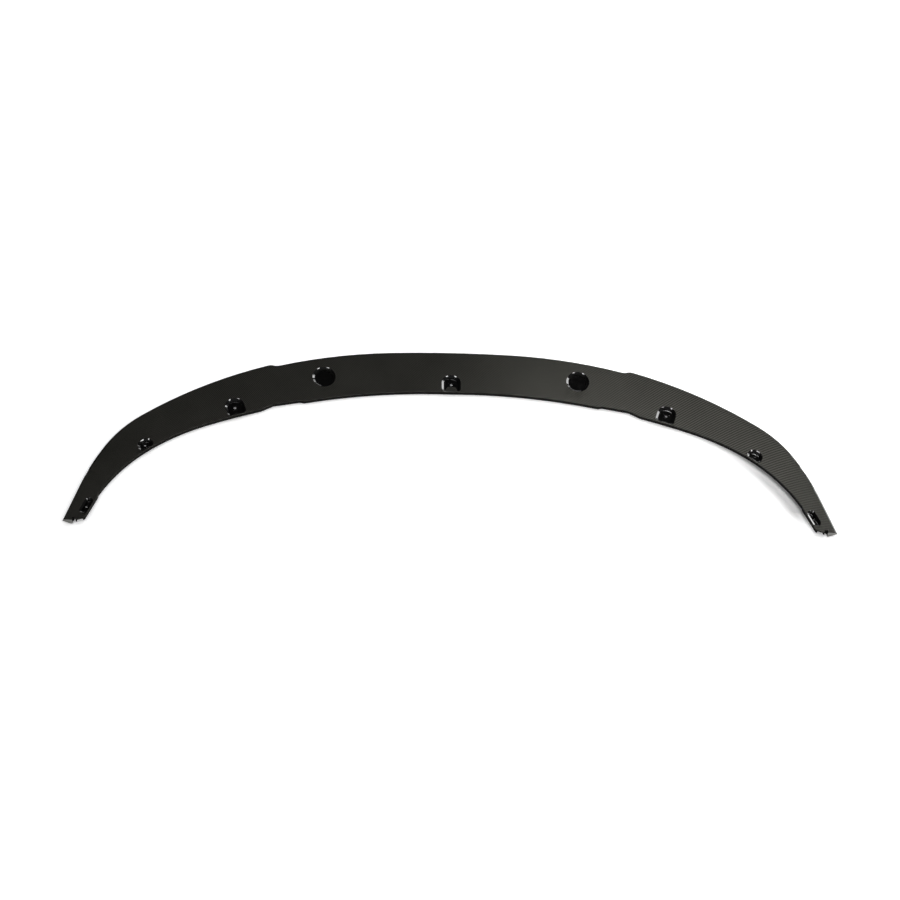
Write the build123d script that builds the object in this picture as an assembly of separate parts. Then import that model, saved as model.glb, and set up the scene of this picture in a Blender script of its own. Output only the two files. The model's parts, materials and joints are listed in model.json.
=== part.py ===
import os
from math import acos, atan2, cos, degrees, hypot, radians, sin, tan

from build123d import *

# A front splitter lip for a car, moulded in carbon laminate as one open-backed shell.
# It lies with its underside up: +X to the car's side, +Y to the leading edge, +Z out of the underside.
# Lengths are in millimetres, turns and headings in degrees. A heading is measured clockwise from +X.

# Shell
overall_width = 1700.0  # across the outer corners of the two tips
blade_depth = 107.0  # leading edge to rear edge on the centre line
seat_depth = 10.0  # underside to the plane that bears on the bumper
ledge_drop = 8.0  # how far the ledge reaches past that plane
ledge_width = 20.0  # the band that shows in front of the bumper once fitted
laminate = 3.0  # skin thickness
nose_radius = 5.0  # rounding of the leading edge into the underside
rear_radius = 2.0  # rounding of the rear edge
slope_height = 12.0  # the show side slopes away from the leading edge: this high there
slope_width = 16.0  # and over this width

# Leading edge: tangent arcs from the centre line out to a straight at the tip
crown_radius = 3030.0
crown_turn = 2.6
brow_radius = 1135.0
brow_turn = 12.8
step_height = 6.5  # the arms stand this much proud of the middle
step_clear = 6.0  # least radius that the step leaves on the ledge's inner edge
step_turn = 2.1
arm_turn = 17.5
corner_radius = 282.0
corner_turn = 23.0
cheek_radius = 517.0
cheek_turn = 12.0
tip_run = 97.0

# Rear edge: a straight in the middle, then tangent arcs out to a straight pad at the tip
rear_flat = 57.0
rear_first_turn = 20.8
rear_bend_radius = 530.0
rear_bend_turn = 13.5
rear_last_turn = 25.7
pad_turn = 4.5
pad_height = 2.0  # the pad stands this much proud of the rear edge
pad_blend = 6.0  # radius of the step up to it
tip_width = 48.0  # across the end of the arm
tip_setback = 6.0  # the inner corner of the end stands back by this
tip_corner = 5.0  # rounding of the inner corner
slot_width = 7.5  # between the ledge's end and the rest of the end
slot_depth = 6.5

# Relief in the rear edge
relief_length = 99.0
relief_gap = 36.0  # between it and the arm's pocket, along the edge
relief_ramp = 8.0  # length of its steep end
relief_blend = 30.0  # length of its easy end
relief_shallow = 3.5  # depth beside the steep end
relief_deep = 6.5  # depth beside the easy end
relief_corner = 6.0  # rounding of its corners

# Screw pockets, sunk from the underside to the plane that bears on the bumper
pocket_floor = 2.5
pocket_draft = 20.0
rim_width = 4.5  # the mouth slopes in over this width
rim_depth = 2.6
rim_flat = 0.5  # left flat between a pocket and the rear edge
arch_flat = 2.0  # left flat at the far end of an arched pocket
near_corner = 4.0
boss_height = 1.5
boss_bevel = 1.0
boss_radius = 7.5
screw_radius = 3.25
small_boss_radius = 4.0
small_screw_radius = 2.25
screw_bevel = 0.5  # countersink at the mouth of each screw hole

arch_width = 34.0
arch_reach = 40.5  # rear edge to the pocket's far end
arm_pocket_station = 485.0  # along the rear edge from the middle
tongue_width = 25.0  # the shelf in the middle pocket, against its rear rim
tongue_reach = 15.0
tongue_corner = 9.0
tongue_drop = 1.0  # below the underside
half_round_width = 27.0
half_round_reach = 22.5
half_round_station = 157.0  # along the rear edge from the pad
tip_pocket_width = 33.0
tip_pocket_reach = 16.0
tip_pocket_lead = 14.5  # pad before the pocket
tip_pocket_tail = 11.5  # pad after it
recess_radius = 21.5
recess_spacing = 574.0
recess_setback = 72.6  # behind the middle of the leading edge

tolerance = 0.01
cut_past = 0.5  # a cut that meets another runs this far into it


def ahead(heading):
    return Vector(cos(radians(heading)), -sin(radians(heading)))


def frontward(heading):
    # square to a heading, towards the leading edge
    return Vector(sin(radians(heading)), cos(radians(heading)))


def arc_reach(radius, heading, turn):
    # from start to end of an arc; an anticlockwise one has its radius and turn negative
    return (frontward(heading + turn) - frontward(heading)) * radius


def chain_reach(turns, heading=0.0):
    total = Vector(0, 0)
    for radius, turn in turns:
        total += arc_reach(radius, heading, turn)
        heading += turn
    return total


class EdgeRun:
    # a run of arcs and lines in the plan

    def __init__(self, point, heading):
        self.point = point
        self.heading = heading
        self.edges = []

    def turn(self, radius, turn):
        middle = self.point + arc_reach(radius, self.heading, turn / 2)
        end = self.point + arc_reach(radius, self.heading, turn)
        self.edges.append(ThreePointArc(self.point, middle, end).edge())
        self.point = end
        self.heading += turn

    def line_to(self, end):
        self.edges.append(Line(self.point, end).edge())
        self.point = end

    def line_to_level(self, level):
        # straight ahead to a given y
        direction = ahead(self.heading)
        self.line_to(self.point + direction * ((level - self.point.Y) / direction.Y))


# The step's radius follows from the ledge behind it, and the arm's radius from the width
height = seat_depth + ledge_drop
step_radius = ledge_width + step_clear
step_swing = degrees(acos(1 - step_height / (2 * step_radius)))
before_arm = [
    (crown_radius, crown_turn),
    (brow_radius, brow_turn),
    (-step_radius, -step_swing),
    (step_radius, step_swing + step_turn),
]
after_arm = [(corner_radius, corner_turn), (cheek_radius, cheek_turn)]
arm_start = crown_turn + brow_turn + step_turn
arm_end = arm_start + arm_turn
tip_heading = arm_end + corner_turn + cheek_turn
tip_straight = ahead(tip_heading) * tip_run
besides_arm = chain_reach(before_arm) + chain_reach(after_arm, arm_end) + tip_straight
arm_radius = (overall_width / 2 - besides_arm.X) / arc_reach(1, arm_start, arm_turn).X
front_turns = before_arm + [(arm_radius, arm_turn)] + after_arm
overall_depth = -(chain_reach(front_turns) + tip_straight).Y

front_y = overall_depth / 2
front_tip = Vector(overall_width / 2, -overall_depth / 2)
block_width = ledge_width / sin(radians(tip_heading))

# The rear edge's first and last arcs take the radii that bring it to the inner corner of the tip
pad_run = tip_pocket_lead + tip_pocket_width + tip_pocket_tail
pad_swing = degrees(acos(1 - pad_height / (2 * pad_blend)))
rear_bend_start = rear_first_turn + rear_bend_turn
rear_last_heading = rear_bend_start + rear_last_turn
pad_heading = rear_last_heading + pad_turn
pad_step = [(pad_blend, pad_swing), (-pad_blend, pad_turn - pad_swing)]
rear_start = Vector(rear_flat / 2, front_y - blade_depth)
rear_tip = front_tip + Vector(-tip_width, tip_setback)
pad_start = rear_tip - ahead(pad_heading) * pad_run
rear_end = pad_start - chain_reach(pad_step, rear_last_heading)
first_unit = arc_reach(1, 0, rear_first_turn)
last_unit = arc_reach(1, rear_bend_start, rear_last_turn)
shared = rear_end - rear_start - arc_reach(rear_bend_radius, rear_first_turn, rear_bend_turn)
spread = first_unit.X * last_unit.Y - first_unit.Y * last_unit.X
rear_first_radius = (shared.X * last_unit.Y - shared.Y * last_unit.X) / spread
rear_last_radius = (first_unit.X * shared.Y - first_unit.Y * shared.X) / spread
rear_turns = [
    (rear_first_radius, rear_first_turn),
    (rear_bend_radius, rear_bend_turn),
    (rear_last_radius, rear_last_turn),
]
rear_length = rear_flat / 2 + sum(radius * radians(turn) for radius, turn in rear_turns)


def rear_place(distance):
    # the point and heading at a distance along the rear edge from the middle
    point = rear_start
    heading = 0.0
    left = max(distance - rear_flat / 2, 0)
    for radius, turn in rear_turns:
        part = min(degrees(left / radius), turn)
        point += arc_reach(radius, heading, part)
        heading += part
        left -= radius * radians(part)
    return point, heading


def front_run(inset, end_level):
    # the whole crown arc, then the right half of the leading edge, all set in by a distance
    crown = frontward(-crown_turn) * (crown_radius - inset)
    run = EdgeRun(Vector(0, front_y - crown_radius) + crown, -crown_turn)
    run.turn(crown_radius - inset, 2 * crown_turn)
    for radius, turn in front_turns[1:]:
        run.turn(radius - inset, turn)
    run.line_to_level(end_level)
    return run


def rear_run(inset, end_level):
    # the right half of the rear edge, set in by a distance
    run = EdgeRun(rear_start + Vector(0, inset), 0)
    for radius, turn in rear_turns + pad_step:
        run.turn(radius + inset, turn)
    run.line_to_level(end_level)
    return run


def both_sides(middle, right):
    return make_face(middle + right + [mirror(edge, about=Plane.YZ).edge() for edge in right])


def relief_face(inset):
    # moved with the rear edge when that is set in
    end = arm_pocket_station - arch_width / 2 - relief_gap
    start = end - relief_length

    def corner(distance, depth):
        point, heading = rear_place(distance)
        return point + frontward(heading) * depth

    inner = [
        corner(start, inset),
        corner(start + relief_ramp, relief_shallow + inset),
        corner(end - relief_blend, relief_deep + inset),
        corner(end, inset),
    ]
    outside = [corner(end, -relief_deep), corner(start, -relief_deep)]
    return make_face(Polyline(*inner, *outside, close=True)), inner


def outline(inset, end_inset):
    # the plan set in by a distance, and by another at the part of each end behind its slot
    front = front_run(inset, front_tip.Y + inset)
    rear = rear_run(inset, rear_tip.Y + end_inset)
    flat = Line((-rear_start.X, rear_start.Y + inset), (rear_start.X, rear_start.Y + inset))
    end = EdgeRun(front.point, 0)
    slot_outer = front_tip.X - block_width + inset
    slot_inner = front_tip.X - block_width - slot_width - inset
    end.line_to(Vector(slot_outer, front_tip.Y + inset))
    end.line_to(Vector(slot_outer, front_tip.Y + slot_depth + inset))
    end.line_to(Vector(slot_inner, front_tip.Y + slot_depth + inset))
    end.line_to(Vector(slot_inner, front_tip.Y + end_inset))
    end.line_to(rear.point)
    face = both_sides([front.edges[0], flat], front.edges[1:] + rear.edges + end.edges)
    relief, corners = relief_face(inset)
    face = Sketch() + face - relief - mirror(relief, about=Plane.YZ)
    return face, corners


def same_place(found, wanted):
    # in the plan, on either side of the centre line
    return (Vector(abs(found.X), found.Y) - wanted).length < tolerance


def front_edges(body, inset, level):
    # the edges along the leading edge, or along it set in by a distance, at one level
    middles = [edge.position_at(0.5) for edge in front_run(inset, front_tip.Y + inset).edges]

    def in_front(edge):
        return any(same_place(edge.position_at(0.5), middle) for middle in middles)

    return body.edges().filter_by_position(Axis.Z, level, level).filter_by(in_front)


def rear_edges(body):
    # the rest of the underside's border, clear of the tips' ends
    front = front_edges(body, 0, height)
    ends = front_tip.Y + max(tip_setback, slot_depth) + tolerance
    top = body.edges().filter_by_position(Axis.Z, height, height)
    return [edge for edge in top if edge not in front and edge.position_at(0.5).Y > ends]


def slope_back(body, inset, level, rise):
    # bevels the show side, from the leading edge back, with the same slope at any inset
    bottom = body.faces().sort_by(Axis.Z)[0]
    width = rise * slope_width / slope_height
    return chamfer(front_edges(body, inset, level), width, rise, reference=bottom)


def blade():
    # the solid that the laminate wraps
    face, relief_corners = outline(0, 0)
    for radius, corners in [(relief_corner, relief_corners), (tip_corner, [rear_tip])]:
        for corner in corners:
            face = fillet([vertex for vertex in face.vertices() if same_place(vertex, corner)], radius)
    body = slope_back(extrude(face, height), 0, 0, slope_height)
    body = fillet(rear_edges(body), rear_radius)
    return fillet(front_edges(body, 0, height), nose_radius)


def hollow():
    # closed along the edges and at the ledge's ends, and open at the rest of each end
    face, _ = outline(laminate, -laminate)
    body = Pos(0, 0, laminate) * extrude(face, height - 2 * laminate)
    steepness = slope_height / slope_width
    rise = slope_height + laminate * (hypot(1, steepness) - steepness - 1)
    return slope_back(body, laminate, laminate, rise)


def behind_ledge():
    # everything behind the ledge's inner edge, out past the tips, up to the plane that bears on the bumper
    run = front_run(ledge_width, front_tip.Y - tip_width)
    closing = Line((-run.point.X, run.point.Y), (run.point.X, run.point.Y))
    return extrude(both_sides([run.edges[0], closing], run.edges[1:]), ledge_drop)


pocket_rim = rear_radius + rim_flat + rim_width


class Pocket:
    # lies against the rear edge, with its screw in the middle

    def __init__(self, place, width, reach, boss, screw):
        point, heading = place
        self.plan = Plane(origin=point, x_dir=ahead(heading), z_dir=(0, 0, 1))
        self.width = width
        self.reach = reach
        self.far_corner = min(width / 2, reach - pocket_rim - near_corner) - arch_flat / 2
        self.seat = self.plan * Pos(0, (pocket_rim + reach) / 2)
        self.boss = boss
        self.screw = screw

    def face(self, near_side, wall):
        # the mouth, or what stands a wall's thickness round it
        length = self.reach + wall - near_side
        shape = Rectangle(self.width + 2 * wall, length, align=(Align.CENTER, Align.MIN))
        shape = fillet(shape.vertices().sort_by(Axis.Y)[2:], self.far_corner + wall)
        shape = fillet(shape.vertices().sort_by(Axis.Y)[:2], near_corner + wall)
        return self.plan * Pos(0, near_side) * shape


class Recess(Pocket):
    # round, clear of the edges, with a plain floor and no screw

    def __init__(self, point, radius):
        self.radius = radius
        self.seat = Pos(point)

    def face(self, near_side, wall):
        return self.seat * Circle(self.radius + wall)


def cup(pocket):
    return Pos(0, 0, ledge_drop) * extrude(pocket.face(laminate / 2, laminate), seat_depth - laminate / 2)


def cavity(pocket):
    # drafted from the underside, and of the pocket's own width where the rim ends
    spread = rim_depth * tan(radians(pocket_draft))
    mouth = Pos(0, 0, height) * pocket.face(pocket_rim - spread, spread)
    return extrude(mouth, seat_depth - pocket_floor, dir=(0, 0, -1), taper=pocket_draft)


def rim(pocket):
    mouth = Pos(0, 0, height) * pocket.face(pocket_rim - rim_width, rim_width)
    slope = degrees(atan2(rim_width, rim_depth))
    return extrude(mouth, rim_depth + cut_past, dir=(0, 0, -1), taper=slope)


def boss(pocket):
    body = extrude(Circle(pocket.boss), pocket_floor + boss_height)
    return pocket.seat * Pos(0, 0, ledge_drop) * chamfer(body.edges().sort_by(Axis.Z)[-1], boss_bevel)


def screw_hole(pocket):
    hole = extrude(Circle(pocket.screw), seat_depth)
    mouth = Pos(0, 0, pocket_floor + boss_height) * Circle(pocket.screw + screw_bevel)
    hole += extrude(mouth, screw_bevel, dir=(0, 0, -1), taper=45)
    return pocket.seat * Pos(0, 0, ledge_drop) * hole


pad_middle = tip_pocket_lead + tip_pocket_width / 2
recess_place = Vector(recess_spacing / 2, front_y - recess_setback)
middle_place = (Vector(0, rear_start.Y), 0)
arm_place = rear_place(arm_pocket_station)
half_round_place = rear_place(rear_length - half_round_station)
tip_place = (pad_start + ahead(pad_heading) * pad_middle, pad_heading)

middle_pocket = Pocket(middle_place, arch_width, arch_reach, boss_radius, screw_radius)
right_recess = Recess(recess_place, recess_radius)
right_pockets = [
    Pocket(arm_place, arch_width, arch_reach, boss_radius, screw_radius),
    Pocket(half_round_place, half_round_width, half_round_reach, small_boss_radius, small_screw_radius),
    Pocket(tip_place, tip_pocket_width, tip_pocket_reach, small_boss_radius, small_screw_radius),
]


def tongue():
    shelf = Rectangle(tongue_width, tongue_reach - pocket_rim / 2, align=(Align.CENTER, Align.MIN))
    shelf = fillet(shelf.vertices().sort_by(Axis.Y)[2:], tongue_corner)
    base = ledge_drop + pocket_floor / 2
    return Pos(0, rear_start.Y + pocket_rim / 2, base) * extrude(shelf, height - tongue_drop - base)


def everywhere(make, on_the_right):
    right = [make(pocket) for pocket in on_the_right]
    return [make(middle_pocket)] + right + [mirror(body, about=Plane.YZ) for body in right]


sunk = [right_recess] + right_pockets
shell = blade() - hollow() - behind_ledge()
lip = shell + everywhere(cup, sunk) - everywhere(rim, sunk) - everywhere(cavity, sunk)
lip = lip + tongue() + everywhere(boss, right_pockets) - everywhere(screw_hole, right_pockets)

os.makedirs("parts", exist_ok=True)
export_step(lip, "parts/splitter_lip.step")
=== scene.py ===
import bpy
import json
import math
from mathutils import Matrix, Vector


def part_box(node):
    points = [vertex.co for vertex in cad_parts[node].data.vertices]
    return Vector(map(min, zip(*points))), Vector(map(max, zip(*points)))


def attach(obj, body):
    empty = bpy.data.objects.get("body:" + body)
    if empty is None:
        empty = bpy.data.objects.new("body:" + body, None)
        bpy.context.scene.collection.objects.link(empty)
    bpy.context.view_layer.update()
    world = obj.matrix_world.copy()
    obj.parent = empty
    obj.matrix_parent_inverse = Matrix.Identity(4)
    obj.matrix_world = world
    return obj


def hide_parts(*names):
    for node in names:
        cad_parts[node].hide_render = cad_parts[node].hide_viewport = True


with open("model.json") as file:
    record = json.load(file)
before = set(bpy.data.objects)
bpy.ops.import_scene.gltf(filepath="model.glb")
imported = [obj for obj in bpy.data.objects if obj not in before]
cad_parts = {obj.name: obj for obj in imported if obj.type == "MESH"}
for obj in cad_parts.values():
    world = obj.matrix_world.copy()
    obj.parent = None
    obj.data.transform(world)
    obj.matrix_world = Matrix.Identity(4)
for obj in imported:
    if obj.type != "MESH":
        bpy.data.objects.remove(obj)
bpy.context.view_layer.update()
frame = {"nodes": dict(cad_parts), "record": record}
low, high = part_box("splitter_lip")
undersideLevel = high.z  # the lip lies with its underside up
halfSpan = high.x
noiseSpan = {"From Min": 0.3, "From Max": 0.7}  # most of a noise texture's values lie between these
print("frame loaded")


def toLinear(hexColour):
    channels = [int(hexColour[i:i + 2], 16) / 255 for i in (1, 3, 5)]
    return [c / 12.92 if c <= 0.04045 else ((c + 0.055) / 1.055) ** 2.4 for c in channels] + [1.0]


# settings are set on the node; a link is a node, one of its sockets or a plain value
def addNode(tree, kind, settings, links):
    node = tree.nodes.new(kind)
    for name, value in settings.items():
        setattr(node, name, value)
    for socket, source in links.items():
        if isinstance(source, bpy.types.Node):
            tree.links.new(source.outputs[0], node.inputs[socket])
        elif isinstance(source, bpy.types.NodeSocket):
            tree.links.new(source, node.inputs[socket])
        else:
            node.inputs[socket].default_value = source
    return node


def newMaterial(name):
    material = bpy.data.materials.new(name)
    material.use_nodes = True
    material.node_tree.nodes.clear()
    return material, material.node_tree


# How the cloth lies: one piece draped along the crescent. Its middle thread follows the arms back,
# and the threads across it lean over, so the twill lines lie flatter towards each tip.
drape = {
    "towPitch": 1.55,  # mm from thread to thread, a fine 3K twill
    "middleBack": 53.5,  # mm from the leading edge to the middle thread, half of the blade's depth
    "bow": 0.275,  # the middle thread drops by these parts of the half span
    "hook": 0.25,
    "stretch": 0.05,  # the threads across crowd together by these
    "crowd": 1 / 6,
    "repeat": 4.0,  # threads in one repeat of the twill
    "floatOver": 2.0,  # threads that one passes over before it dives
    "threadRound": 1.2,  # how much a thread's round section adds to the rise of its float
}


# Gives the cloth's two thread counts at any point of the surface, with its sides folded flat
def layCloth(tree):
    place = addNode(tree, "ShaderNodeTexCoord", {}, {})
    xyz = addNode(tree, "ShaderNodeSeparateXYZ", {}, {0: place.outputs["Object"]})
    x, y, z = xyz.outputs
    share = addNode(tree, "ShaderNodeMath", {"operation": "DIVIDE"}, {0: x, 1: halfSpan})
    square = addNode(tree, "ShaderNodeMath", {"operation": "POWER"}, {0: share, 1: 2.0})
    eighth = addNode(tree, "ShaderNodeMath", {"operation": "POWER"}, {0: share, 1: 8.0})

    hook = addNode(tree, "ShaderNodeMath", {"operation": "MULTIPLY"},
                   {0: eighth, 1: drape["hook"] * halfSpan})
    sag = addNode(tree, "ShaderNodeMath", {"operation": "MULTIPLY_ADD"},
                  {0: square, 1: drape["bow"] * halfSpan, 2: hook})
    middleY = high.y - drape["middleBack"] / 1000
    fromMiddle = addNode(tree, "ShaderNodeMath", {"operation": "SUBTRACT"}, {0: y, 1: middleY})
    across = addNode(tree, "ShaderNodeMath", {"operation": "ADD"}, {0: fromMiddle, 1: sag})
    side = addNode(tree, "ShaderNodeMath", {"operation": "SIGN"}, {0: across})
    drop = addNode(tree, "ShaderNodeMath", {"operation": "SUBTRACT"}, {0: undersideLevel, 1: z})
    folded = addNode(tree, "ShaderNodeMath", {"operation": "MULTIPLY_ADD"}, {0: side, 1: drop, 2: across})

    crowd = addNode(tree, "ShaderNodeMath", {"operation": "MULTIPLY_ADD"},
                    {0: eighth, 1: drape["crowd"], 2: 1.0})
    pace = addNode(tree, "ShaderNodeMath", {"operation": "MULTIPLY_ADD"},
                   {0: square, 1: drape["stretch"], 2: crowd})
    along = addNode(tree, "ShaderNodeMath", {"operation": "MULTIPLY"}, {0: x, 1: pace})

    perMetre = 1000 / drape["towPitch"]
    alongCount = addNode(tree, "ShaderNodeMath", {"operation": "MULTIPLY"}, {0: along, 1: perMetre})
    acrossCount = addNode(tree, "ShaderNodeMath", {"operation": "MULTIPLY"}, {0: folded, 1: perMetre})
    lean = addNode(tree, "ShaderNodeMath", {"operation": "ABSOLUTE"}, {0: share})
    return {"place": place.outputs["Object"], "along": alongCount, "across": acrossCount, "lean": lean}


# Two over, two under: a thread along shows where the counts differ by 0 or 1 in every 4.
# Gives whether it shows, and how far along its float the point is.
def weaveTwill(tree, cloth):
    acrossCell = addNode(tree, "ShaderNodeMath", {"operation": "FLOOR"}, {0: cloth["across"]})
    gap = addNode(tree, "ShaderNodeMath", {"operation": "SUBTRACT"}, {0: cloth["along"], 1: acrossCell})
    phase = addNode(tree, "ShaderNodeMath", {"operation": "FLOORED_MODULO"}, {0: gap, 1: drape["repeat"]})
    shows = addNode(tree, "ShaderNodeMath", {"operation": "LESS_THAN"}, {0: phase, 1: drape["floatOver"]})
    return shows, phase


# How high the thread that shows stands, 0 to 1: each float rises over two threads
# and its section is round, a ping-pong arch both ways
def raiseThreads(tree, cloth, alongShows, alongPhase):
    alongCell = addNode(tree, "ShaderNodeMath", {"operation": "FLOOR"}, {0: cloth["along"]})
    gap = addNode(tree, "ShaderNodeMath", {"operation": "SUBTRACT"}, {0: alongCell, 1: cloth["across"]})
    shift = addNode(tree, "ShaderNodeMath", {"operation": "SUBTRACT"}, {0: gap, 1: 1.0})
    acrossPhase = addNode(tree, "ShaderNodeMath", {"operation": "FLOORED_MODULO"},
                          {0: shift, 1: drape["repeat"]})
    alongRise = addNode(tree, "ShaderNodeMath", {"operation": "PINGPONG"}, {0: alongPhase, 1: 1.0})
    alongRound = addNode(tree, "ShaderNodeMath", {"operation": "PINGPONG"}, {0: cloth["across"], 1: 0.5})
    acrossRise = addNode(tree, "ShaderNodeMath", {"operation": "PINGPONG"}, {0: acrossPhase, 1: 1.0})
    acrossRound = addNode(tree, "ShaderNodeMath", {"operation": "PINGPONG"}, {0: cloth["along"], 1: 0.5})
    alongTop = addNode(tree, "ShaderNodeMath", {"operation": "MULTIPLY_ADD"},
                       {0: alongRound, 1: drape["threadRound"], 2: alongRise})
    acrossTop = addNode(tree, "ShaderNodeMath", {"operation": "MULTIPLY_ADD"},
                        {0: acrossRound, 1: drape["threadRound"], 2: acrossRise})
    top = addNode(tree, "ShaderNodeMix", {}, {"Factor": alongShows, "A": acrossTop, "B": alongTop})
    topMost = 1 + drape["threadRound"] / 2
    return addNode(tree, "ShaderNodeMath", {"operation": "DIVIDE"}, {0: top, 1: topMost})


satinTwill = {
    "alongThread": "#4c4b46",
    "acrossThread": "#2d2d29",
    "valley": "#100f0e",  # resin pooled between threads
    "valleyTop": 0.35,  # share of a thread's height that the resin reaches
    "metallic": 0.85,
    "roughness": (0.47, 0.53),  # from where the cloth lies tight to where it is slack
    "coat": 0.15,
    "coatRoughness": 0.28,
    "towRelief": 0.12,  # mm, print-through that shows under the lacquer
    "reliefStrength": 0.35,
    "cloudSize": 90,  # mm, slow change in how tightly the cloth lies
    "cloudShade": 0.08,  # how much lighter or darker that makes it
    # the two thread colours are the weave; how strongly they differ is painted sheen, weak in the middle,
    # full along the arms and weaker again at the tips, for where the threads catch the light: shares of
    # the half span where that starts and is full
    "ribStart": 0.3,
    "ribFull": 0.62,
    "ribLeast": 0.3,
    "ribFade": 0.86,
    "ribFaded": 0.95,
    "ribAtTip": 0.4,
}


# Carbon twill under satin lacquer, laid up in a mould: dark grey threads that gleam like dull metal,
# a fine slanting rib whose contrast along the span is painted sheen, and a soft sheen that fades as the
# light leaves it.
def makeSatinTwill():
    material, tree = newMaterial("satinCarbonTwill")
    cloth = layCloth(tree)
    alongShows, alongPhase = weaveTwill(tree, cloth)
    height = raiseThreads(tree, cloth, alongShows, alongPhase)
    # painted sheen: the contrast of the two thread colours, by place along the span
    rib = addNode(tree, "ShaderNodeMapRange", {"interpolation_type": "SMOOTHSTEP"},
                  {"Value": cloth["lean"],
                   "From Min": satinTwill["ribStart"], "From Max": satinTwill["ribFull"],
                   "To Min": satinTwill["ribLeast"], "To Max": 1.0})
    tipSheenFade = addNode(tree, "ShaderNodeMapRange", {"interpolation_type": "SMOOTHSTEP"},
                   {"Value": cloth["lean"],
                    "From Min": satinTwill["ribFade"], "From Max": satinTwill["ribFaded"],
                    "To Min": 1.0, "To Max": satinTwill["ribAtTip"]})
    paintedRibSheen = addNode(tree, "ShaderNodeMath", {"operation": "MULTIPLY"},
                       {0: rib.outputs[0], 1: tipSheenFade.outputs[0]})
    centred = addNode(tree, "ShaderNodeMath", {"operation": "SUBTRACT"}, {0: alongShows, 1: 0.5})
    thread = addNode(tree, "ShaderNodeMath", {"operation": "MULTIPLY_ADD"},
                     {0: centred, 1: paintedRibSheen, 2: 0.5})
    threads = addNode(tree, "ShaderNodeMix", {"data_type": "RGBA"},
                      {"Factor": thread, 6: toLinear(satinTwill["acrossThread"]),
                       7: toLinear(satinTwill["alongThread"])})
    depth = addNode(tree, "ShaderNodeMapRange", {"clamp": True},
                    {"Value": height, "From Min": 0.0, "From Max": satinTwill["valleyTop"]})
    woven = addNode(tree, "ShaderNodeMix", {"data_type": "RGBA"},
                    {"Factor": depth, 6: toLinear(satinTwill["valley"]), 7: threads.outputs[2]})
    cloud = addNode(tree, "ShaderNodeTexNoise", {},
                    {"Vector": cloth["place"], "Scale": 1000 / satinTwill["cloudSize"], "Detail": 3.0})
    shade = addNode(tree, "ShaderNodeMapRange", {},
                    {**noiseSpan, "Value": cloud,
                     "To Min": 1 - satinTwill["cloudShade"], "To Max": 1 + satinTwill["cloudShade"]})
    varied = addNode(tree, "ShaderNodeVectorMath", {"operation": "SCALE"},
                     {0: woven.outputs[2], "Scale": shade.outputs[0]})
    tight, slack = satinTwill["roughness"]
    dull = addNode(tree, "ShaderNodeMapRange", {},
                   {**noiseSpan, "Value": cloud, "To Min": tight, "To Max": slack})
    bump = addNode(tree, "ShaderNodeBump", {},
                   {"Strength": satinTwill["reliefStrength"], "Distance": satinTwill["towRelief"] / 1000,
                    "Height": height})
    shader = addNode(tree, "ShaderNodeBsdfPrincipled", {},
                     {"Base Color": varied.outputs[0], "Metallic": satinTwill["metallic"],
                      "Roughness": dull.outputs[0], "Normal": bump,
                      "Coat Weight": satinTwill["coat"], "Coat Roughness": satinTwill["coatRoughness"]})
    addNode(tree, "ShaderNodeOutputMaterial", {}, {"Surface": shader})
    return material


glossResin = {
    "alongThread": "#0c0c0c",
    "acrossThread": "#060606",
    "roughness": (0.05, 0.15),
    "ior": 1.5,
    "coat": 1.0,
    "coatRoughness": 0.04,
    "sagSize": 9,  # mm, slow waves where the resin ran together
    "sagDepth": 0.15,  # mm
    "sagStrength": 0.4,
}


# Epoxy resin over the same cloth, on the nose and where it was pressed into the pockets:
# near black, wet-looking, with small broken highlights.
def makeGlossResin():
    material, tree = newMaterial("glossEpoxyResin")
    cloth = layCloth(tree)
    alongShows = weaveTwill(tree, cloth)[0]
    threads = addNode(tree, "ShaderNodeMix", {"data_type": "RGBA"},
                      {"Factor": alongShows, 6: toLinear(glossResin["acrossThread"]),
                       7: toLinear(glossResin["alongThread"])})
    sag = addNode(tree, "ShaderNodeTexNoise", {},
                  {"Vector": cloth["place"], "Scale": 1000 / glossResin["sagSize"], "Detail": 1.0})
    wettest, driest = glossResin["roughness"]
    wet = addNode(tree, "ShaderNodeMapRange", {},
                  {**noiseSpan, "Value": sag, "To Min": wettest, "To Max": driest})
    bump = addNode(tree, "ShaderNodeBump", {},
                   {"Strength": glossResin["sagStrength"], "Distance": glossResin["sagDepth"] / 1000,
                    "Height": sag})
    shader = addNode(tree, "ShaderNodeBsdfPrincipled", {},
                     {"Base Color": threads.outputs[2], "Roughness": wet.outputs[0],
                      "IOR": glossResin["ior"], "Normal": bump,
                      "Coat Weight": glossResin["coat"], "Coat Roughness": glossResin["coatRoughness"]})
    addNode(tree, "ShaderNodeOutputMaterial", {}, {"Surface": shader})
    return material


bagSideTwill = {
    "alongThread": "#2c2b29",
    "acrossThread": "#1d1c1b",
    "crease": "#0d0d0c",
    "roughness": (0.48, 0.7),
    "metallic": 0.4,
    "creaseSize": 35,  # mm between the film's creases
    "creaseSpan": (0.35, 0.5),  # noise values from the bottom of a crease to its edge
    "towRelief": 0.25,  # mm
    "reliefStrength": 0.6,
}


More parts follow.
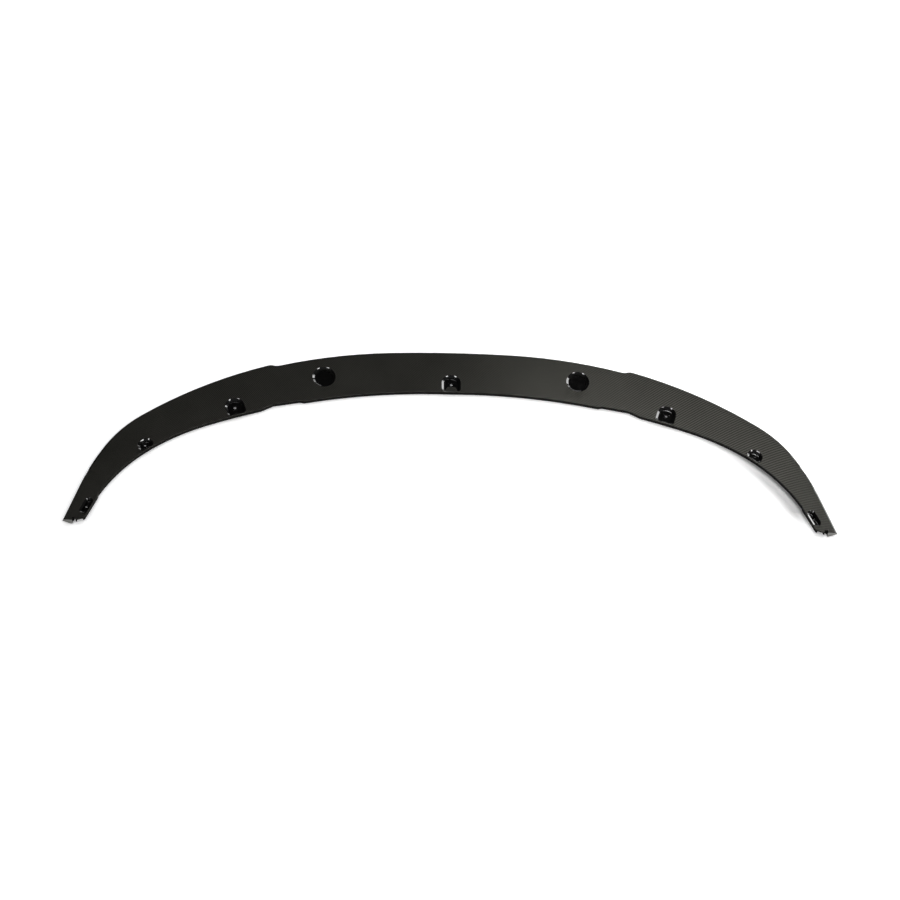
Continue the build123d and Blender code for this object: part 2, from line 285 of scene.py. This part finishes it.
# The side that was under the vacuum bag: the same twill with little resin on it, dull and open,
# with the bag's creases across it.
def makeBagSideTwill():
    material, tree = newMaterial("bagSideCarbonTwill")
    cloth = layCloth(tree)
    alongShows, alongPhase = weaveTwill(tree, cloth)
    height = raiseThreads(tree, cloth, alongShows, alongPhase)
    threads = addNode(tree, "ShaderNodeMix", {"data_type": "RGBA"},
                      {"Factor": alongShows, 6: toLinear(bagSideTwill["acrossThread"]),
                       7: toLinear(bagSideTwill["alongThread"])})
    crease = addNode(tree, "ShaderNodeTexNoise", {},
                     {"Vector": cloth["place"], "Scale": 1000 / bagSideTwill["creaseSize"],
                      "Detail": 4.0, "Distortion": 1.5})
    creaseBottom, creaseEdge = bagSideTwill["creaseSpan"]
    ridge = addNode(tree, "ShaderNodeMapRange", {"clamp": True},
                    {"Value": crease, "From Min": creaseBottom, "From Max": creaseEdge})
    creased = addNode(tree, "ShaderNodeMix", {"data_type": "RGBA"},
                      {"Factor": ridge.outputs[0], 6: toLinear(bagSideTwill["crease"]),
                       7: threads.outputs[2]})
    shiniest, dullest = bagSideTwill["roughness"]
    dull = addNode(tree, "ShaderNodeMapRange", {},
                   {**noiseSpan, "Value": crease, "To Min": shiniest, "To Max": dullest})
    bump = addNode(tree, "ShaderNodeBump", {},
                   {"Strength": bagSideTwill["reliefStrength"],
                    "Distance": bagSideTwill["towRelief"] / 1000, "Height": height})
    shader = addNode(tree, "ShaderNodeBsdfPrincipled", {},
                     {"Base Color": creased.outputs[2], "Roughness": dull.outputs[0],
                      "Metallic": bagSideTwill["metallic"], "Normal": bump})
    addNode(tree, "ShaderNodeOutputMaterial", {}, {"Surface": shader})
    return material


sandedLitEdge = {
    "fibre": "#cfceca",
    "resin": "#9b9a96",
    "plyDrawn": 14.14,  # mm; real plies, 0.75 mm apart, are too fine to show, so they are broad bands
    "grit": 0.4,  # mm
    "roughness": (0.6, 0.8),
    "relief": 0.1,  # mm
    "reliefStrength": 0.3,
}


# Laminate cut and sanded at the tips: bare plies, quite matt, and paler than the lacquered face; that pale
# colour also holds a painted highlight for the light the tips' ends catch
def makeSandedLitEdge():
    material, tree = newMaterial("sandedCarbonEdgePaintedLight")
    place = addNode(tree, "ShaderNodeTexCoord", {}, {})
    bandsPerScale = 20 / (2 * math.pi)  # bands in a metre that a wave texture of scale 1 draws
    plies = addNode(tree, "ShaderNodeTexWave", {"bands_direction": "Z"},
                    {"Vector": place.outputs["Object"],
                     "Scale": 1000 / (sandedLitEdge["plyDrawn"] * bandsPerScale), "Distortion": 1.5})
    grit = addNode(tree, "ShaderNodeTexNoise", {},
                   {"Vector": place.outputs["Object"], "Scale": 1000 / sandedLitEdge["grit"], "Detail": 2.0})
    mixed = addNode(tree, "ShaderNodeMath", {"operation": "MULTIPLY"}, {0: plies.outputs["Fac"], 1: grit})
    # the pale ply colours, partly sanded laminate and partly painted highlight
    colour = addNode(tree, "ShaderNodeMix", {"data_type": "RGBA"},
                     {"Factor": mixed, 6: toLinear(sandedLitEdge["fibre"]), 7: toLinear(sandedLitEdge["resin"])})
    smoothest, coarsest = sandedLitEdge["roughness"]
    rough = addNode(tree, "ShaderNodeMapRange", {},
                    {"Value": grit, "To Min": smoothest, "To Max": coarsest})
    bump = addNode(tree, "ShaderNodeBump", {},
                   {"Strength": sandedLitEdge["reliefStrength"], "Distance": sandedLitEdge["relief"] / 1000,
                    "Height": mixed})
    shader = addNode(tree, "ShaderNodeBsdfPrincipled", {},
                     {"Base Color": colour.outputs[2], "Roughness": rough.outputs[0], "Normal": bump})
    addNode(tree, "ShaderNodeOutputMaterial", {}, {"Surface": shader})
    return material


sealedEdge = {
    "resin": "#0b0b0a",
    "dust": "#1a1a18",
    "speckSize": 1.5,  # mm
    "roughness": 0.8,
    "specular": 0.08,
    "relief": 0.1,  # mm
    "reliefStrength": 0.3,
}


# Edges that were trimmed and sealed with matt black, and the round recesses' walls:
# they give back almost nothing
def makeSealedEdge():
    material, tree = newMaterial("mattSealedEdge")
    place = addNode(tree, "ShaderNodeTexCoord", {}, {})
    speck = addNode(tree, "ShaderNodeTexNoise", {},
                    {"Vector": place.outputs["Object"], "Scale": 1000 / sealedEdge["speckSize"],
                     "Detail": 3.0})
    colour = addNode(tree, "ShaderNodeMix", {"data_type": "RGBA"},
                     {"Factor": speck, 6: toLinear(sealedEdge["resin"]), 7: toLinear(sealedEdge["dust"])})
    bump = addNode(tree, "ShaderNodeBump", {},
                   {"Strength": sealedEdge["reliefStrength"], "Distance": sealedEdge["relief"] / 1000,
                    "Height": speck})
    shader = addNode(tree, "ShaderNodeBsdfPrincipled", {},
                     {"Base Color": colour.outputs[2], "Roughness": sealedEdge["roughness"],
                      "Specular IOR Level": sealedEdge["specular"], "Normal": bump})
    addNode(tree, "ShaderNodeOutputMaterial", {}, {"Surface": shader})
    return material


lipFinishes = {
    "satin": makeSatinTwill,
    "gloss": makeGlossResin,
    "bagSide": makeBagSideTwill,
    "sanded": makeSandedLitEdge,
    "sealed": makeSealedEdge,
}

lipSettings = {
    "mergeDistance": 0.01,  # mm
    "smoothAngle": 50,  # degrees, so the nose and the pockets' walls roll over and the ends stay crisp
    # mm from a screw's axis to the farthest corner of its pocket, by the radius of the screw hole
    "pocketReach": {3.25: 32, 2.25: 25},
    "recessReach": 28,  # mm, the round recesses to the outside of their rims
    "recessSpacing": 574,  # mm
    "recessSetback": 72.6,  # mm behind the middle of the leading edge
    "seatLevel": 8,  # mm, the plane that bears on the bumper
    "rearRound": 2,  # mm, rounding of the rear edge
    "skin": 3,  # mm
    "tongueDrop": 1.0,  # mm, the shelf in the middle pocket is this far below the underside
    "frontBand": (12, 13),  # mm, the narrow upright band on the leading edge
    "tipZone": (795, -205),  # mm, the tips' ends lie beyond these
    "slack": 0.05,  # mm, for comparing levels
    # how far up or forwards a face looks, by its normal
    "rimLean": (0.8, 0.93),  # up, on a pocket's rim, which slopes by 30 degrees
    "sideRim": (-0.25, 0.3),  # forwards, on the sides of a rim; further forwards it rolls over
    "flatFace": 0.99,  # up, on a pocket's floor, at least
    "wallLean": 0.5,  # up, on its walls, at most
    "openFace": 0.1,  # up, on all that shows in it, at least
    "shelfFace": 0.9,  # up, on the shelf, at least
    "endFace": -0.9,  # forwards, on a tip's end, at most
    "noseFace": (0.1, 0.97),  # forwards at least, and up at most, on the nose
    "edgeFace": 0.35,  # up or down, on a trimmed edge, at most
}


# Middle and reach in the plan of each pocket, and the finish of its walls. The screws are in the record:
# a bolt pattern has two, either side of the centre line. The round recesses have no screw, and matt walls.
def pocketPlaces():
    places = []
    for mount in frame["record"]["mounts"]:
        x, y = [1000 * part for part in mount["pos_m"][:2]]
        dims = mount["dims"]
        away = dims.get("spacing_x_mm", 0) / 2
        radius = dims.get("hole_r_mm", dims.get("r_mm"))
        for side in ([-1, 1] if away else [0]):
            places.append((Vector((x + side * away, y)), lipSettings["pocketReach"][radius], "gloss"))
    recessY = high.y * 1000 - lipSettings["recessSetback"]
    for side in (-1, 1):
        recessX = side * lipSettings["recessSpacing"] / 2
        places.append((Vector((recessX, recessY)), lipSettings["recessReach"], "sealed"))
    return places


# The finish of the walls, for the slopes, walls, floor and ring seat of a pocket, and None elsewhere
def pocketWall(polygon, vertices, places):
    centre, normal = polygon.center * 1000, polygon.normal
    top, slack = undersideLevel * 1000, lipSettings["slack"]
    lowest = min(vertices[i].co.z for i in polygon.vertices) * 1000
    if lowest < lipSettings["seatLevel"] + slack:
        return None
    if centre.z > top - slack or normal.z < lipSettings["openFace"]:
        return None
    shelf = top - lipSettings["tongueDrop"]
    if abs(centre.z - shelf) < slack and normal.z > lipSettings["shelfFace"]:
        return None
    for middle, reach, wall in places:
        inward = middle - centre.xy
        if inward.length < reach:
            isInside = normal.xy.dot(inward) > 0 or centre.z < top - lipSettings["rearRound"] - slack
            return wall if isInside else None
    return None


# The finish of a face outside the pockets
def finishOf(polygon, vertices):
    centre, normal = polygon.center * 1000, polygon.normal
    levels = [vertices[i].co.z * 1000 for i in polygon.vertices]
    top, slack = undersideLevel * 1000, lipSettings["slack"]
    lowest, highest = min(levels), max(levels)
    bandLow, bandHigh = lipSettings["frontBand"]
    if lowest > bandLow - slack and highest < bandHigh + slack:
        return "gloss"
    tipX, tipY = lipSettings["tipZone"]
    if normal.y < lipSettings["endFace"] and abs(centre.x) > tipX and centre.y < tipY:
        # the tips' outer ends take the pale sanded finish, which holds a painted highlight
        return "sanded" if centre.y < low.y * 1000 + slack else "sealed"
    skin = lipSettings["skin"]
    if lowest > skin - slack and highest < top - skin + slack:
        return "bagSide"
    forwards, upwards = lipSettings["noseFace"]
    if normal.y > forwards and 0 < normal.z < upwards:
        return "gloss"
    if abs(normal.z) < lipSettings["edgeFace"]:
        return "sealed"
    return "satin"


# Makes the edge round these faces sharp
def creaseRound(lip, faces):
    for i in faces:
        lip.data.polygons[i].select = True
    bpy.ops.object.mode_set(mode="EDIT")
    bpy.ops.mesh.select_mode(type="FACE")
    bpy.ops.mesh.region_to_loop()
    bpy.ops.mesh.mark_sharp()
    bpy.ops.mesh.select_all(action="DESELECT")
    bpy.ops.object.mode_set(mode="OBJECT")


# Gives each face its finish. A pocket's rim is creased where it leaves the face, except on the near side,
# and again where the walls start, on the two sides, so that it mirrors a light as one band;
# its floor and the top of its ring seat stay flat to their edges.
def finishLip(lip):
    lip.data.materials.clear()
    for make in lipFinishes.values():
        lip.data.materials.append(make())
    slots = list(lipFinishes)
    places = pocketPlaces()
    mouths, sides, flats = [], [], []
    leanLeast, leanMost = lipSettings["rimLean"]
    sideLeast, sideMost = lipSettings["sideRim"]
    for polygon in lip.data.polygons:
        normal = polygon.normal
        wall = pocketWall(polygon, lip.data.vertices, places)
        if wall is None:
            polygon.material_index = slots.index(finishOf(polygon, lip.data.vertices))
            continue
        polygon.material_index = slots.index(wall if normal.z < lipSettings["wallLean"] else "gloss")
        if normal.y < sideMost:
            mouths.append(polygon.index)
        if leanLeast < normal.z < leanMost and sideLeast < normal.y < sideMost:
            sides.append(polygon.index)
        if normal.z > lipSettings["flatFace"]:
            flats.append(polygon.index)
    for faces in (mouths, sides, flats):
        creaseRound(lip, faces)


def makeLip():
    lipNode = frame["nodes"]["splitter_lip"]
    lip = bpy.data.objects.new("lipShell", lipNode.data.copy())
    bpy.context.scene.collection.objects.link(lip)
    bpy.ops.object.select_all(action="DESELECT")
    lip.select_set(True)
    bpy.context.view_layer.objects.active = lip
    bpy.ops.object.mode_set(mode="EDIT")
    bpy.ops.mesh.select_all(action="SELECT")
    bpy.ops.mesh.remove_doubles(threshold=lipSettings["mergeDistance"] / 1000)
    bpy.ops.mesh.select_all(action="DESELECT")
    bpy.ops.object.mode_set(mode="OBJECT")
    if lip.data.has_custom_normals:
        bpy.ops.mesh.customdata_custom_splitnormals_clear()
    bpy.ops.object.shade_smooth_by_angle(angle=math.radians(lipSettings["smoothAngle"]))
    finishLip(lip)

    # broad faces keep their own shading, and the narrow ones between them roll
    even = lip.modifiers.new("evenShading", "WEIGHTED_NORMAL")
    even.mode = "FACE_AREA"
    even.keep_sharp = True
    bpy.ops.object.modifier_apply(modifier=even.name)

    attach(lip, "root")
    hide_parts("splitter_lip")
    counts = [sum(p.material_index == i for p in lip.data.polygons) for i in range(len(lipFinishes))]
    print("lip made, faces by finish:", counts)


floorSettings = {
    "size": 14,  # m
    "colour": "#e6e6e6",
    "roughness": 0.9,
    "glow": "#ffffff",
    "lift": 1.0,  # share of it added for the camera and for gloss, so the pale floor reads as white
    "shadeReach": 0.025,  # m, how near the lip the lift fades, a painted contact shadow
    "shadeSamples": 2,
    "castReach": 0.2,  # m, reach of a painted shadow beside the right arm, an occlusion term aimed towards the strip light
    "castSamples": 16,
    "castFrom": (0.85, 0.45, 0.27),  # towards that light
    "castEdge": (0.71, 0.8),  # how clear the paper is where that shadow is full and where it ends
    "castDepth": 0.16,  # how much of the lift is left in it
    "castAlong": (0.54, 0.7),  # m along the span, where it starts and is full
    "castBack": (-0.205, -0.165),  # m towards the tip, where it ends and is full
}


# A sheet of white paper: matt, and even in colour all over; the glow that makes it read as white carries a
# painted contact shadow near the lip and a painted shadow beside the right arm
def makeFloor():
    bpy.ops.object.select_all(action="DESELECT")
    bpy.ops.mesh.primitive_plane_add(size=floorSettings["size"], location=(0, 0, low.z))
    floor = bpy.context.object
    floor.name = "paperFloor"
    material, tree = newMaterial("whitePaper")
    path = addNode(tree, "ShaderNodeLightPath", {}, {})
    seen = addNode(tree, "ShaderNodeMath", {"operation": "MAXIMUM"},
                   {0: path.outputs["Is Camera Ray"], 1: path.outputs["Is Glossy Ray"]})
    shown = addNode(tree, "ShaderNodeMath", {"operation": "MAXIMUM"},
                    {0: seen, 1: path.outputs["Is Transmission Ray"]})
    clear = addNode(tree, "ShaderNodeAmbientOcclusion", {"samples": floorSettings["shadeSamples"]},
                    {"Distance": floorSettings["shadeReach"]})

    # a painted shadow beside the right arm: occlusion aimed towards the strip light, kept to that place
    place = addNode(tree, "ShaderNodeTexCoord", {}, {})
    xyz = addNode(tree, "ShaderNodeSeparateXYZ", {}, {0: place.outputs["Object"]})
    alongStart, alongFull = floorSettings["castAlong"]
    along = addNode(tree, "ShaderNodeMapRange", {},
                    {"Value": xyz.outputs["X"], "From Min": alongStart, "From Max": alongFull})
    backEnd, backFull = floorSettings["castBack"]
    back = addNode(tree, "ShaderNodeMapRange", {},
                   {"Value": xyz.outputs["Y"], "From Min": backEnd, "From Max": backFull})
    beside = addNode(tree, "ShaderNodeMath", {"operation": "MULTIPLY"},
                     {0: along.outputs[0], 1: back.outputs[0]})
    castX, castY, castZ = floorSettings["castFrom"]
    towards = addNode(tree, "ShaderNodeCombineXYZ", {}, {0: castX, 1: castY, 2: castZ})
    lit = addNode(tree, "ShaderNodeAmbientOcclusion", {"samples": floorSettings["castSamples"]},
                  {"Distance": floorSettings["castReach"], "Normal": towards})
    edgeFull, edgeEnd = floorSettings["castEdge"]
    shade = addNode(tree, "ShaderNodeMapRange", {"interpolation_type": "SMOOTHSTEP"},
                    {"Value": lit.outputs["AO"], "From Min": edgeFull, "From Max": edgeEnd,
                     "To Min": floorSettings["castDepth"], "To Max": 1.0})
    paintedShadow = addNode(tree, "ShaderNodeMix", {}, {"Factor": beside, "A": 1.0, "B": shade.outputs[0]})

    # painted shade: the glow is dimmed by both occlusion terms
    paintedShade = addNode(tree, "ShaderNodeMath", {"operation": "MULTIPLY"},
                        {0: clear.outputs["AO"], 1: paintedShadow})
    lift = addNode(tree, "ShaderNodeMath", {"operation": "MULTIPLY"},
                   {0: paintedShade, 1: floorSettings["lift"]})
    glow = addNode(tree, "ShaderNodeMath", {"operation": "MULTIPLY"}, {0: shown, 1: lift})
    shader = addNode(tree, "ShaderNodeBsdfPrincipled", {},
                     {"Base Color": toLinear(floorSettings["colour"]),
                      "Roughness": floorSettings["roughness"], "Specular IOR Level": 0.0,
                      "Emission Color": toLinear(floorSettings["glow"]), "Emission Strength": glow})
    addNode(tree, "ShaderNodeOutputMaterial", {}, {"Surface": shader})
    floor.data.materials.append(material)
    print("floor made")


# two gridded lamps high on the camera's side, which make the points of light on the pockets' far rims
highLamp = {"aim": (0.0, 0.15, 0.0), "size": (1.2, 1.2), "power": 1.2, "spread": 25}

lightSettings = {
    # a strip light low on the right, a little behind, which the left rims of the pockets mirror
    "stripLight": {
        "place": (3.2, 1.75, 1.6),
        "aim": (0.0, 0.0, 0.0),
        "size": (2.2, 1.3),
        "power": 50,
    },
    # a short one lower down beside it, for the pocket at the right tip
    "lowStrip": {
        "place": (3.05, 2.15, 0.35),
        "aim": (0.8, -0.2, 0.0),
        "size": (0.9, 0.5),
        "power": 9,
    },
    # a dim one behind, which draws the pockets' near rims and the rear edge
    "backStrip": {
        "place": (1.4, 3.3, 0.75),
        "aim": (0.4, 0.0, 0.0),
        "size": (2.6, 1.0),
        "power": 16,
    },
    # a gridded softbox along the right half, and a weaker one along the left: they hang in front of
    # the lip and a little to one side of what its pockets mirror, from the camera and from above
    "gridBox": {
        "place": (0.58, 0.255, 1.0),
        "aim": (0.58, 0.01, 0.0),
        "size": (0.9, 0.3),
        "power": 0.52,
        "spread": 40,  # degrees
        "turn": -21,  # degrees, as the arm lies
    },
    "fillBox": {
        "place": (-0.5, 0.285, 1.1),
        "aim": (-0.5, 0.04, 0.0),
        "size": (1.2, 0.3),
        "power": 0.2,
        "spread": 60,
        "turn": 21,
    },
    "highLamp1": {"place": (2.3, -1.6, 3.8), **highLamp},
    "highLamp2": {"place": (-1.55, -1.4, 3.5), **highLamp},
}


# an area lamp at a place, facing a point
def addLamp(name, place, aim, size, power, spread=180, turn=0):
    lamp = bpy.data.lights.new(name, "AREA")
    lamp.shape = "RECTANGLE"
    lamp.size, lamp.size_y = size
    lamp.energy = power
    lamp.spread = math.radians(spread)
    holder = bpy.data.objects.new(name, lamp)
    holder.location = place
    holder.rotation_euler = (Vector(place) - Vector(aim)).to_track_quat("Z", "Y").to_euler()
    holder.rotation_euler.rotate_axis("Z", math.radians(turn))
    bpy.context.scene.collection.objects.link(holder)


# a dim room, a little brighter low on the camera's side than behind and above
roomSettings = {
    "bright": "#606060",
    "dark": "#202020",
    "shown": "#ffffff",  # what the camera sees past the floor
    "aim": (0.3, -0.9, 0.3),  # towards the bright side
    "spread": (-0.2, 0.9),  # how far round to it the dark ends and the bright is full, as cosines
}


def makeRoom():
    world = bpy.data.worlds.new("studio")
    bpy.context.scene.world = world
    world.use_nodes = True
    tree = world.node_tree
    tree.nodes.clear()
    sky = addNode(tree, "ShaderNodeTexCoord", {}, {})
    bearing = addNode(tree, "ShaderNodeVectorMath", {"operation": "DOT_PRODUCT"},
                      {0: sky.outputs["Generated"], 1: Vector(roomSettings["aim"]).normalized()})
    darkEnd, brightFull = roomSettings["spread"]
    towards = addNode(tree, "ShaderNodeMapRange", {"interpolation_type": "SMOOTHSTEP"},
                      {"Value": bearing.outputs["Value"], "From Min": darkEnd, "From Max": brightFull})
    room = addNode(tree, "ShaderNodeMix", {"data_type": "RGBA"},
                   {"Factor": towards.outputs[0], 6: toLinear(roomSettings["dark"]),
                    7: toLinear(roomSettings["bright"])})
    path = addNode(tree, "ShaderNodeLightPath", {}, {})
    shown = addNode(tree, "ShaderNodeMix", {"data_type": "RGBA"},
                    {"Factor": path.outputs["Is Camera Ray"], 6: room.outputs[2],
                     7: toLinear(roomSettings["shown"])})
    background = addNode(tree, "ShaderNodeBackground", {}, {"Color": shown.outputs[2], "Strength": 1.0})
    addNode(tree, "ShaderNodeOutputWorld", {}, {"Surface": background})


def makeLights():
    for name, settings in lightSettings.items():
        addLamp(name, **settings)
    makeRoom()
    print("lights made")


cameraSettings = {
    "turn": -5.601,  # degrees round the upright, 0 looks along +Y
    "elevation": 59.76,
    "roll": 5.923,
    "distance": 6.0032,  # m
    "aim": (-0.004364, -0.032264, 0.018),
    "lens": 107.95,  # mm, for a square picture
    "sensor": 36,  # mm
    "farthest": 50,  # m
}


def makeCamera():
    turn, rise, roll = [math.radians(cameraSettings[name]) for name in ("turn", "elevation", "roll")]
    back = Vector((math.sin(turn) * math.cos(rise), -math.cos(turn) * math.cos(rise), math.sin(rise)))
    level = Vector((math.cos(turn), math.sin(turn), 0))
    upright = back.cross(level)
    right = level * math.cos(roll) + upright * math.sin(roll)
    up = upright * math.cos(roll) - level * math.sin(roll)
    camera = bpy.data.objects.new("camera", bpy.data.cameras.new("camera"))
    camera.data.sensor_width = cameraSettings["sensor"]
    camera.data.lens = cameraSettings["lens"]
    camera.data.clip_end = cameraSettings["farthest"]
    facing = Matrix((right, up, back)).transposed()
    place = Vector(cameraSettings["aim"]) + back * cameraSettings["distance"]
    camera.matrix_world = Matrix.Translation(place) @ facing.to_4x4()
    bpy.context.scene.collection.objects.link(camera)
    bpy.context.scene.camera = camera
    print("camera made")


makeLip()
makeFloor()
makeLights()
makeCamera()
bpy.context.scene.view_settings.view_transform = "Standard"
